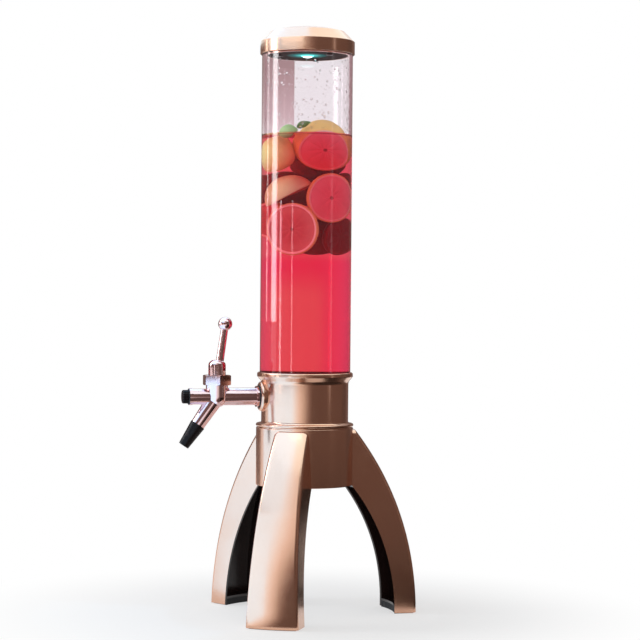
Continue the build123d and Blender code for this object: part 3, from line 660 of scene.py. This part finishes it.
def make_drink():
    """The drink, from above the tap's nut up to its surface, which climbs a little at the wall."""
    flat_within = DRINK_WALL - 0.02
    profile = [
        (0, DRINK_FOOT),
        (COLLAR_BORE, DRINK_FOOT),
        (COLLAR_BORE, DRINK_SHOULDER),
        (DRINK_WALL, DRINK_SHOULDER),
    ]
    for degrees in (0, 15, 30, 45, 60, 75, 90):
        inward = CLIMB_WIDTH * (1 - cos(radians(degrees)))
        rise = CLIMB_HEIGHT * (1 - sin(radians(degrees))) ** 2
        profile.append((DRINK_WALL - inward, DRINK_LEVEL + rise))
    profile += [(flat_within, DRINK_LEVEL), (0, DRINK_LEVEL)]
    rings = turned(profile, 128)
    return piece("drink", flat(rings), skin(rings), [red_drink()], at=ON_AXIS)


def placed(right, near, height, turn, *turns):
    """A place in the drink and the turns of a piece there, in degrees, first about the upright."""
    place = Matrix.Translation(spot(right, near, height)) @ Matrix.Rotation(VIEW + radians(turn), 4, "Z")
    for axis, degrees in turns:
        place = place @ Matrix.Rotation(radians(degrees), 4, axis)
    return place


def fruit_half(name, radius, depth, kind, right, near, height, turn, tilt, spin=0.0, bulge=0.012):
    """A cut fruit. Its face is turned right and tilted up from the camera by these degrees."""
    steps = 8 * FRUIT_SEGMENTS
    flesh_end = 0.875
    flesh_swell = 0.0006
    core_dip = 0.0006
    rim_dip = 0.0004
    rings = [[(0, 0, -core_dip)]]
    for share in (0.06, 0.1, 0.2, 0.36, 0.52, 0.68, 0.8, flesh_end):
        ring = []
        for step in range(steps):
            angle = 2 * pi * step / steps
            swell = abs(sin(angle * FRUIT_SEGMENTS / 2)) ** 0.5 * sin(pi * share / flesh_end) ** 0.6
            lift = flesh_swell * swell - rim_dip
            ring.append((radius * share * cos(angle), radius * share * sin(angle), lift))
        rings.append(ring)
    flesh_rings = len(rings) - 1
    for share, lift in ((0.89, 0.0), (0.925, 0.0001), (0.95, 0.0)):
        rings += turned([(radius * share, lift)], steps)
    pith_rings = len(rings) - 1
    rings += turned([(0.985 * radius, -rim_dip)], steps)
    for degrees in (4, 12, 24, 36, 48, 60, 72, 82):
        angle = radians(degrees)
        swell = 1 + bulge * sin(2 * angle)
        rings += turned([(radius * swell * cos(angle), -rim_dip - depth * sin(angle))], steps)
    rings.append([(0, 0, -rim_dip - depth)])
    indices = []
    for band in reversed(range(len(rings) - 1)):
        layer = (band >= flesh_rings) + (band >= pith_rings)
        indices += [layer] * steps
    rings.reverse()
    facing = placed(right, near, height, turn, ("X", 90 - tilt), ("Z", spin))
    return piece(name, flat(rings), skin(rings), kind, at=facing, indices=indices, sharp=60)


def whole_fruit(name, length, girth, kind, right, near, height, turn, tilt):
    """A whole lemon or lime: a long body, rounded at one end and with a nipple at the other."""
    steps = 24
    nipple_size = 0.16
    profile = [(0, -0.5 * length)]
    for step in range(1, steps):
        share = step / steps
        belly = sin(pi * share) ** 0.62
        nipple = nipple_size * max(0, (share - (1 - nipple_size)) / nipple_size) ** 2
        out = girth / 2 * belly * (1 - nipple)
        profile.append((out, length * (share - 0.5) + length * nipple * 0.3))
    profile.append((0, 0.54 * length))
    rings = turned(profile, 48)
    lying = placed(right, near, height, turn, ("Y", tilt))
    return piece(name, flat(rings), skin(rings), kind, at=lying)


def make_leaf(name, length, width, material, right, near, height, turn, tilt, roll):
    """A toothed leaf, cupped along its middle and drooping to its tip."""
    across, along = 9, 22
    tooth = 0.09
    cup = 0.12
    droop = 0.22
    ripple = 0.02
    stalk_half = 0.0002
    points = []
    for step in range(along + 1):
        share = step / along
        half = width / 2 * sin(pi * share ** 0.8) ** 0.75 * (1 + tooth * (step % 2)) + stalk_half
        for column in range(across):
            side = 2 * column / (across - 1) - 1
            lift = cup * width * abs(side) - droop * length * share ** 2
            lift += ripple * width * cos(9 * share + 3 * side)
            points.append((half * side, length * share, lift))
    faces = []
    for step in range(along):
        for column in range(across - 1):
            corner = step * across + column
            faces.append([corner, corner + 1, corner + across + 1, corner + across])
    lying = placed(right, near, height, turn, ("X", tilt), ("Y", roll))
    leaf = piece(name, points, faces, [material], at=lying, sharp=80)
    thick = leaf.modifiers.new("thickness", "SOLIDIFY")
    thick.thickness = LEAF_THICKNESS
    return leaf


def make_drops(count, seed):
    """Beads of water on the tube's inner wall above the drink, larger ones pulled down."""
    chance = Random(seed)
    rows, steps = 4, 10
    points, faces = [], []
    for _ in range(count):
        size = DROP_SMALLEST + DROP_GROWTH * chance.random() ** 4
        angle = 2 * pi * chance.random()
        height = DROP_LOWEST + (DROP_HIGHEST - DROP_LOWEST) * chance.random() ** 1.25
        pull = DROP_PULL * min(1, size / DROP_HEAVY)
        out = Vector((cos(angle), sin(angle), 0))
        side = Vector((-sin(angle), cos(angle), 0))
        rings = [[out * DROP_WALL + UP * height]]
        for row in range(rows + 1):
            bend = radians(90 * row / rows)
            inward = DROP_WALL - DROP_BULGE * size * sin(bend)
            ring = []
            for step in range(steps if row < rows else 1):
                around = 2 * pi * step / steps
                sag = 1 + pull * max(0, -sin(around))
                sideways = size * cos(bend) * cos(around)
                upwards = size * sag * cos(bend) * sin(around)
                ring.append(out * inward + side * sideways + UP * upwards + UP * height)
            rings.append(ring)
        rings.reverse()
        faces += skin(rings, len(points))
        points += flat(rings)
    return piece("water_beads", points, faces, [water_drops()], at=ON_AXIS)


def make_button_spring(material):
    """The coil over the light's button, fixed at the board."""
    low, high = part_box("lens_spring")
    length = high.z - low.z
    wire, turns, per_turn, around = 0.00025, 4, 40, 10
    coil = (high.x - low.x) / 2 - wire
    last = turns * per_turn
    bends = [2 * pi * corner / around for corner in range(around)]
    rings = []
    for step in reversed(range(last + 1)):
        angle = 2 * pi * step / per_turn
        out = Vector((cos(angle), sin(angle), 0))
        middle = out * coil + UP * (low.z + wire + (length - 2 * wire) * step / last)
        if step == last:
            rings.append([middle])
        rings.append([middle + out * (wire * cos(bend)) + UP * (wire * sin(bend)) for bend in bends])
        if step == 0:
            rings.append([middle])
    spring = piece("button_spring", flat(rings), skin(rings), [material], "lid", at=ON_AXIS)
    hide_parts("lens_spring")
    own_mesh(spring)
    return spring


# Dressing the CAD pieces

paint = champagne_paint()
chrome = rosy_chrome()
moulding = black_moulding()
steel = turned_steel("satin_steel", srgb(196, 195, 192), srgb(150, 147, 142))
black_steel = turned_steel("black_steel", srgb(58, 54, 54), srgb(40, 37, 37))
rubber = black_rubber()
dressing = {
    paint: "lid_shell collar hub",
    chrome: "tap_body bonnet_nut lever_guide lever lever_knob",
    moulding: "nozzle tap_end_cap light_switch",
    tray_plastic(): "light_tray",
    steel: "leg_screws hub_screws shank_nut plunger washer_nut lens_spring coin_cells battery_clip",
    black_steel: "tray_screws",
    rubber: "tube_seal tap_gasket_outer tap_gasket_inner end_cap_washer ball_washer seat_washer"
            " foot_pad_left foot_pad_right foot_pad_rear",
    white_washer(): "friction_washer",
    clear_acrylic(): "tube",
    glowing_lens(): "light_lens",
    lamp_glow(): "light_led",
    circuit_board(): "light_board",
}
for name, angle in LEG_ANGLES.items():
    dressing[champagne_paint(f"{name}_paint", angle)] = name
for finish, names in dressing.items():
    for name in names.split():
        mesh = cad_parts[name].data
        mesh.materials.clear()
        mesh.materials.append(finish)

make_button_spring(steel)

# The drink and what floats in it

make_drink()
coral = [
    fruit_flesh("coral_flesh", srgb(212, 126, 120), srgb(196, 96, 95), srgb(234, 172, 154)),
    fruit_pith("coral_pith", srgb(255, 240, 222), srgb(252, 214, 190)),
    fruit_peel("coral_peel", srgb(238, 176, 108), srgb(248, 204, 140)),
]
crimson = [
    fruit_flesh("crimson_flesh", srgb(250, 168, 176), srgb(240, 132, 148), srgb(252, 190, 186)),
    fruit_pith("crimson_pith", srgb(255, 228, 210), srgb(252, 196, 180)),
    fruit_peel("crimson_peel", srgb(236, 178, 100), srgb(250, 212, 140)),
]
# Painted shade: dark copies of the fruit, for the fruit at the back and low on the right, which stand in
# shadow.
shaded_maroon = [
    fruit_flesh("maroon_flesh", srgb(140, 18, 40), srgb(110, 10, 28), srgb(156, 30, 48)),
    fruit_pith("maroon_pith", srgb(156, 40, 50), srgb(136, 26, 40)),
    fruit_peel("maroon_peel", srgb(122, 22, 32), srgb(150, 32, 42)),
]
orange = [
    fruit_flesh("orange_flesh", srgb(236, 170, 100), srgb(224, 132, 84), srgb(248, 204, 146)),
    fruit_pith("orange_pith", srgb(255, 232, 200), srgb(250, 200, 164)),
    fruit_peel("orange_peel", srgb(222, 212, 142), srgb(236, 230, 180)),
]
lemon = [fruit_peel("lemon_peel", srgb(240, 242, 150), srgb(250, 250, 190))]
lime = [fruit_peel("lime_peel", srgb(140, 184, 112), srgb(190, 216, 158))]

# A half has a radius and a depth, and a whole fruit a length and a girth.
# After these come the kind, the place to the right, near and up, and the turns.
fruit_half("fruit_front_low", 0.0285, 0.017, coral, -0.0140, 0.0285, 0.4225, -26, -2, 12)
fruit_half("fruit_front_right", 0.0270, 0.015, crimson, 0.0240, 0.0190, 0.4570, 34, -3, 40)
fruit_half("fruit_top_right", 0.0262, 0.038, crimson, 0.0172, 0.0175, 0.5090, 6, -32, 75, bulge=0.25)
fruit_half("fruit_middle", 0.0250, 0.021, orange, -0.0164, 0.0139, 0.4593, 86, -61, 0)
whole_fruit("lemon_left", 0.042, 0.037, lemon, -0.0278, 0.0046, 0.5050, 20, 24)
whole_fruit("lime_left", 0.020, 0.015, lime, -0.0200, 0.0270, 0.5290, 10, 80)
fruit_half("fruit_left_edge", 0.0215, 0.012, coral, -0.0270, -0.0130, 0.4340, -78, 0, 20)
# The dark fruit below, at the back and low on the right, are painted shade.
fruit_half("fruit_back_low", 0.0250, 0.014, shaded_maroon, 0.0063, -0.0291, 0.4205, 160, 4, 20)
fruit_half("fruit_back_left", 0.0215, 0.012, shaded_maroon, -0.0130, -0.0345, 0.4665, 195, -4, 50)
fruit_half("fruit_back_right", 0.0200, 0.012, shaded_maroon, 0.0277, -0.0173, 0.4665, 130, -6, 35)
fruit_half("fruit_back_top", 0.0180, 0.011, shaded_maroon, 0.0060, -0.0310, 0.4965, 185, 5, 5)
fruit_half("fruit_right_low", 0.0210, 0.012, shaded_maroon, 0.0292, -0.0012, 0.4155, 60, -10, 30)
leaf = mint_leaf()
make_leaf("mint_middle", 0.015, 0.010, leaf, -0.0105, 0.0280, 0.5330, -80, 30, -40)
make_leaf("mint_back", 0.019, 0.011, leaf, -0.0080, -0.0240, 0.5285, 140, 14, 8)
make_drops(count=520, seed=7)

# Floor, lights, world and camera


def pale_floor():
    """White floor that takes a soft shadow near the tower and is plain white beyond."""
    finish = Finish("pale_floor")
    x, y = finish.axes("XY")
    away = (x * x + y * y).root()
    grain = finish.noise(300, 2)
    matt = finish.shader(
        Base_Color=finish.mix(grain, srgb(240, 240, 240), srgb(246, 246, 246)),
        Roughness=0.9,
    )
    share = finish.seen() * (0.55 + 0.45 * away.step(0.12, 0.42))
    return finish.done(finish.blend(share, matt, finish.glow(WHITE, 1.0)))


def glow_card(name, colour, strength):
    """A board that glows evenly, but for a faint mottle."""
    finish = Finish(name)
    dimmer = tuple(0.93 * part for part in colour)
    shade = finish.mix(finish.noise(3, 2), dimmer + (1,), colour + (1,))
    return finish.done(finish.glow(shade, strength))


def brown_flag():
    """A cloth that shows through the clear tube, and fades to white at its foot."""
    finish = Finish("flag_behind")
    [z] = finish.axes("Z")
    weave = finish.noise(60, 2)
    colour = finish.mix(z.step(0.56, 0.68), (0.80, 0.60, 0.62, 1), (0.44, 0.29, 0.29, 1))
    colour = finish.mix(weave * 0.2, colour, (0.62, 0.48, 0.50, 1))
    colour = finish.mix(z.step(0.545, 0.60), WHITE, colour)
    return finish.done(finish.glow(colour, 1.0))


def turning_card(name):
    """A board that fades from cool light through white to a warm dark.

    It fades towards the right, and fastest at its foot.
    """
    finish = Finish(name)
    x, y, z = finish.axes()
    right = (x - AXIS.x) * RIGHT.x + (y - AXIS.y) * RIGHT.y
    near = (x - AXIS.x) * NEAR.x + (y - AXIS.y) * NEAR.y
    low = 1 - z.step(0.0, 0.22)
    left = (right * -1).angle(near)
    left = left * (1 + 1.5 * low) - low * radians(55)
    start, end = radians(DARK_SIDE), radians(COOL_SIDE)
    shade = finish.node("ValToRGB", {"stops": [
        (0.0, (0.048, 0.033, 0.029, 1)), (0.19, (0.11, 0.085, 0.08, 1)), (0.42, (0.30, 0.29, 0.28, 1)),
        (0.62, (0.42, 0.42, 0.42, 1)), (0.81, (0.46, 0.58, 0.68, 1)), (1.0, COOL + (1,)),
    ]}, {0: (left - start) / (end - start)})
    return finish.done(finish.glow(shade, COOL_STRENGTH))


def make_card(first, last, profile, material):
    """A board that only shows in shiny pieces.

    Its profile, of reach and height, is swept about the axis from one bearing to another.
    """
    steps = 40
    points, faces = [], []
    for step in range(steps + 1):
        way = bearing(first + (last - first) * step / steps)
        points += [AXIS + way * reach + UP * height for reach, height in profile]
    row = len(profile)
    for step in range(steps):
        for column in range(row - 1):
            corner = step * row + column
            faces.append([corner, corner + row, corner + row + 1, corner + 1])
    card = piece(material.name, points, faces, [material], body=None)
    card.visible_camera = False
    card.visible_diffuse = False
    card.visible_shadow = False
    card.visible_transmission = False
    return card


def strip_light(name, left, width, low, high, radiance, reach=1.0):
    """An upright strip of light, facing the tower from a bearing left of the camera."""
    lamp = bpy.data.lights.new(name, "AREA")
    lamp.shape = "RECTANGLE"
    lamp.size = width
    lamp.size_y = high - low
    lamp.energy = radiance * pi * width * (high - low)
    thing = bpy.data.objects.new(name, lamp)
    bpy.context.scene.collection.objects.link(thing)
    thing.location = AXIS + bearing(left) * reach + UP * (low + high) / 2
    thing.rotation_euler = bearing(left).to_track_quat("Z", "Y").to_euler()
    return thing


disc = turned([(FLOOR_REACH, 0), (0, 0)], 96)
floor = piece("floor", flat(disc), skin(disc), [pale_floor()], body=None)

# Profiles of the boards, as pairs of reach and height
by_legs = [(0.15, 0.003), (0.30, 0.003), (0.30, 0.25)]
by_near_legs = [(0.13, 0.003), (0.30, 0.003), (0.30, 0.25)]
above_lid = [(1.05, 0.745), (1.05, 1.5)]
by_lid = [(0.25, 0.655), (0.25, 0.75)]
roof = [(0.0, 1.5), (1.6, 1.5)]
dark_floor = [(0.15, 0.003), (1.3, 0.003)]
dark_wall = [(1.3, 0.003), (1.3, 1.4)]
back_wall = [(1.3, 0.0), (1.3, 0.85)]
behind_strips = [(1.1, 0.2), (1.1, 0.76)]
behind_lid = [(0.55, 0.545), (0.55, 0.70)]

# Boards, from a first to a last bearing
make_card(COOL_SIDE, 105, by_legs, glow_card("card_low", COOL, COOL_STRENGTH))
make_card(COOL_SIDE, 105, above_lid, glow_card("card_high", COOL, COOL_STRENGTH))
make_card(DARK_SIDE, COOL_SIDE, by_near_legs, turning_card("card_turn_low"))
make_card(DARK_SIDE, COOL_SIDE, above_lid, turning_card("card_turn_high"))
make_card(8, 60, by_lid, glow_card("card_lid", PALE, 3.6))
make_card(112, 160, by_lid, glow_card("card_lid_left", PALE, 1.6))
make_card(25, 200, roof, glow_card("card_roof_left", COOL, 3.1))
make_card(25, -160, roof, glow_card("card_roof_right", PALE, 1.9))
make_card(DARK_SIDE, -115, dark_floor, glow_card("card_right_floor", WARM, 0.03))
make_card(DARK_SIDE, -115, dark_wall, glow_card("card_right", WARM, 0.16))
make_card(-115, -140, dark_floor[:1] + dark_wall, glow_card("card_right_back", WARM, 0.12))
make_card(125, 220, back_wall, glow_card("card_back", WARM, 0.2))
make_card(DARK_SIDE, 78, behind_strips, glow_card("card_dim", WARM, 0.22))
make_card(98, 125, behind_strips, glow_card("card_dim_back", WARM, 0.2))

# The flag shows through the tube and not in shiny pieces
flag = make_card(140, 177.4, behind_lid, brown_flag())
flag.visible_glossy = False
flag.visible_transmission = True

# Lights, each with its bearing, width, foot, top and radiance
strip_light("key_strip", 88, 0.28, 0.31, 1.25, 5.6)
strip_light("thin_strip", 67, 0.05, 0.10, 0.50, 6.0)
strip_light("side_strip", 116, 0.05, 0.31, 1.1, 5.0)
strip_light("front_strip", 35, 0.04, 0.15, 0.50, 3.0)
strip_light("right_strip", -67, 0.06, 0.2, 0.8, 0.8)
fill = strip_light("front_fill", -8, 1.4, 0.3, 1.7, 2.0, reach=2.0)
fill.visible_glossy = False
fill.visible_transmission = False

# The room is white where it is seen, and a rosy dark where the tube and the drink turn the view back
world = bpy.data.worlds.new("studio")
bpy.context.scene.world = world
room = Finish(world)
turned_back = room.path("Is Transmission Ray") * room.path("Glossy Depth").step(0.2, 0.8)
soft = room.node("Background", None, {"Color": (1, 0.985, 0.98, 1), "Strength": 0.42})
bright = room.node("Background", None, {"Color": WHITE, "Strength": 1.0})
dark = room.node("Background", None, {"Color": (1, 0.6, 0.64, 1), "Strength": 0.45})
room.done(room.blend(turned_back, room.blend(room.seen(), soft, bright), dark))

camera = bpy.data.objects.new("camera", bpy.data.cameras.new("camera"))
bpy.context.scene.collection.objects.link(camera)
camera.data.sensor_width = CAMERA_SENSOR
camera.data.lens = CAMERA_SENSOR * CAMERA_FOCAL / PICTURE_WIDTH
camera.matrix_world = (Matrix.Translation(spot(0, CAMERA_DISTANCE, CAMERA_HEIGHT))
                       @ Matrix.Rotation(VIEW - CAMERA_TURN, 4, "Z")
                       @ Matrix.Rotation(radians(90) - CAMERA_DIP, 4, "X")
                       @ Matrix.Rotation(CAMERA_ROLL, 4, "Z"))
bpy.context.scene.camera = camera
bpy.context.scene.view_settings.view_transform = "Standard"
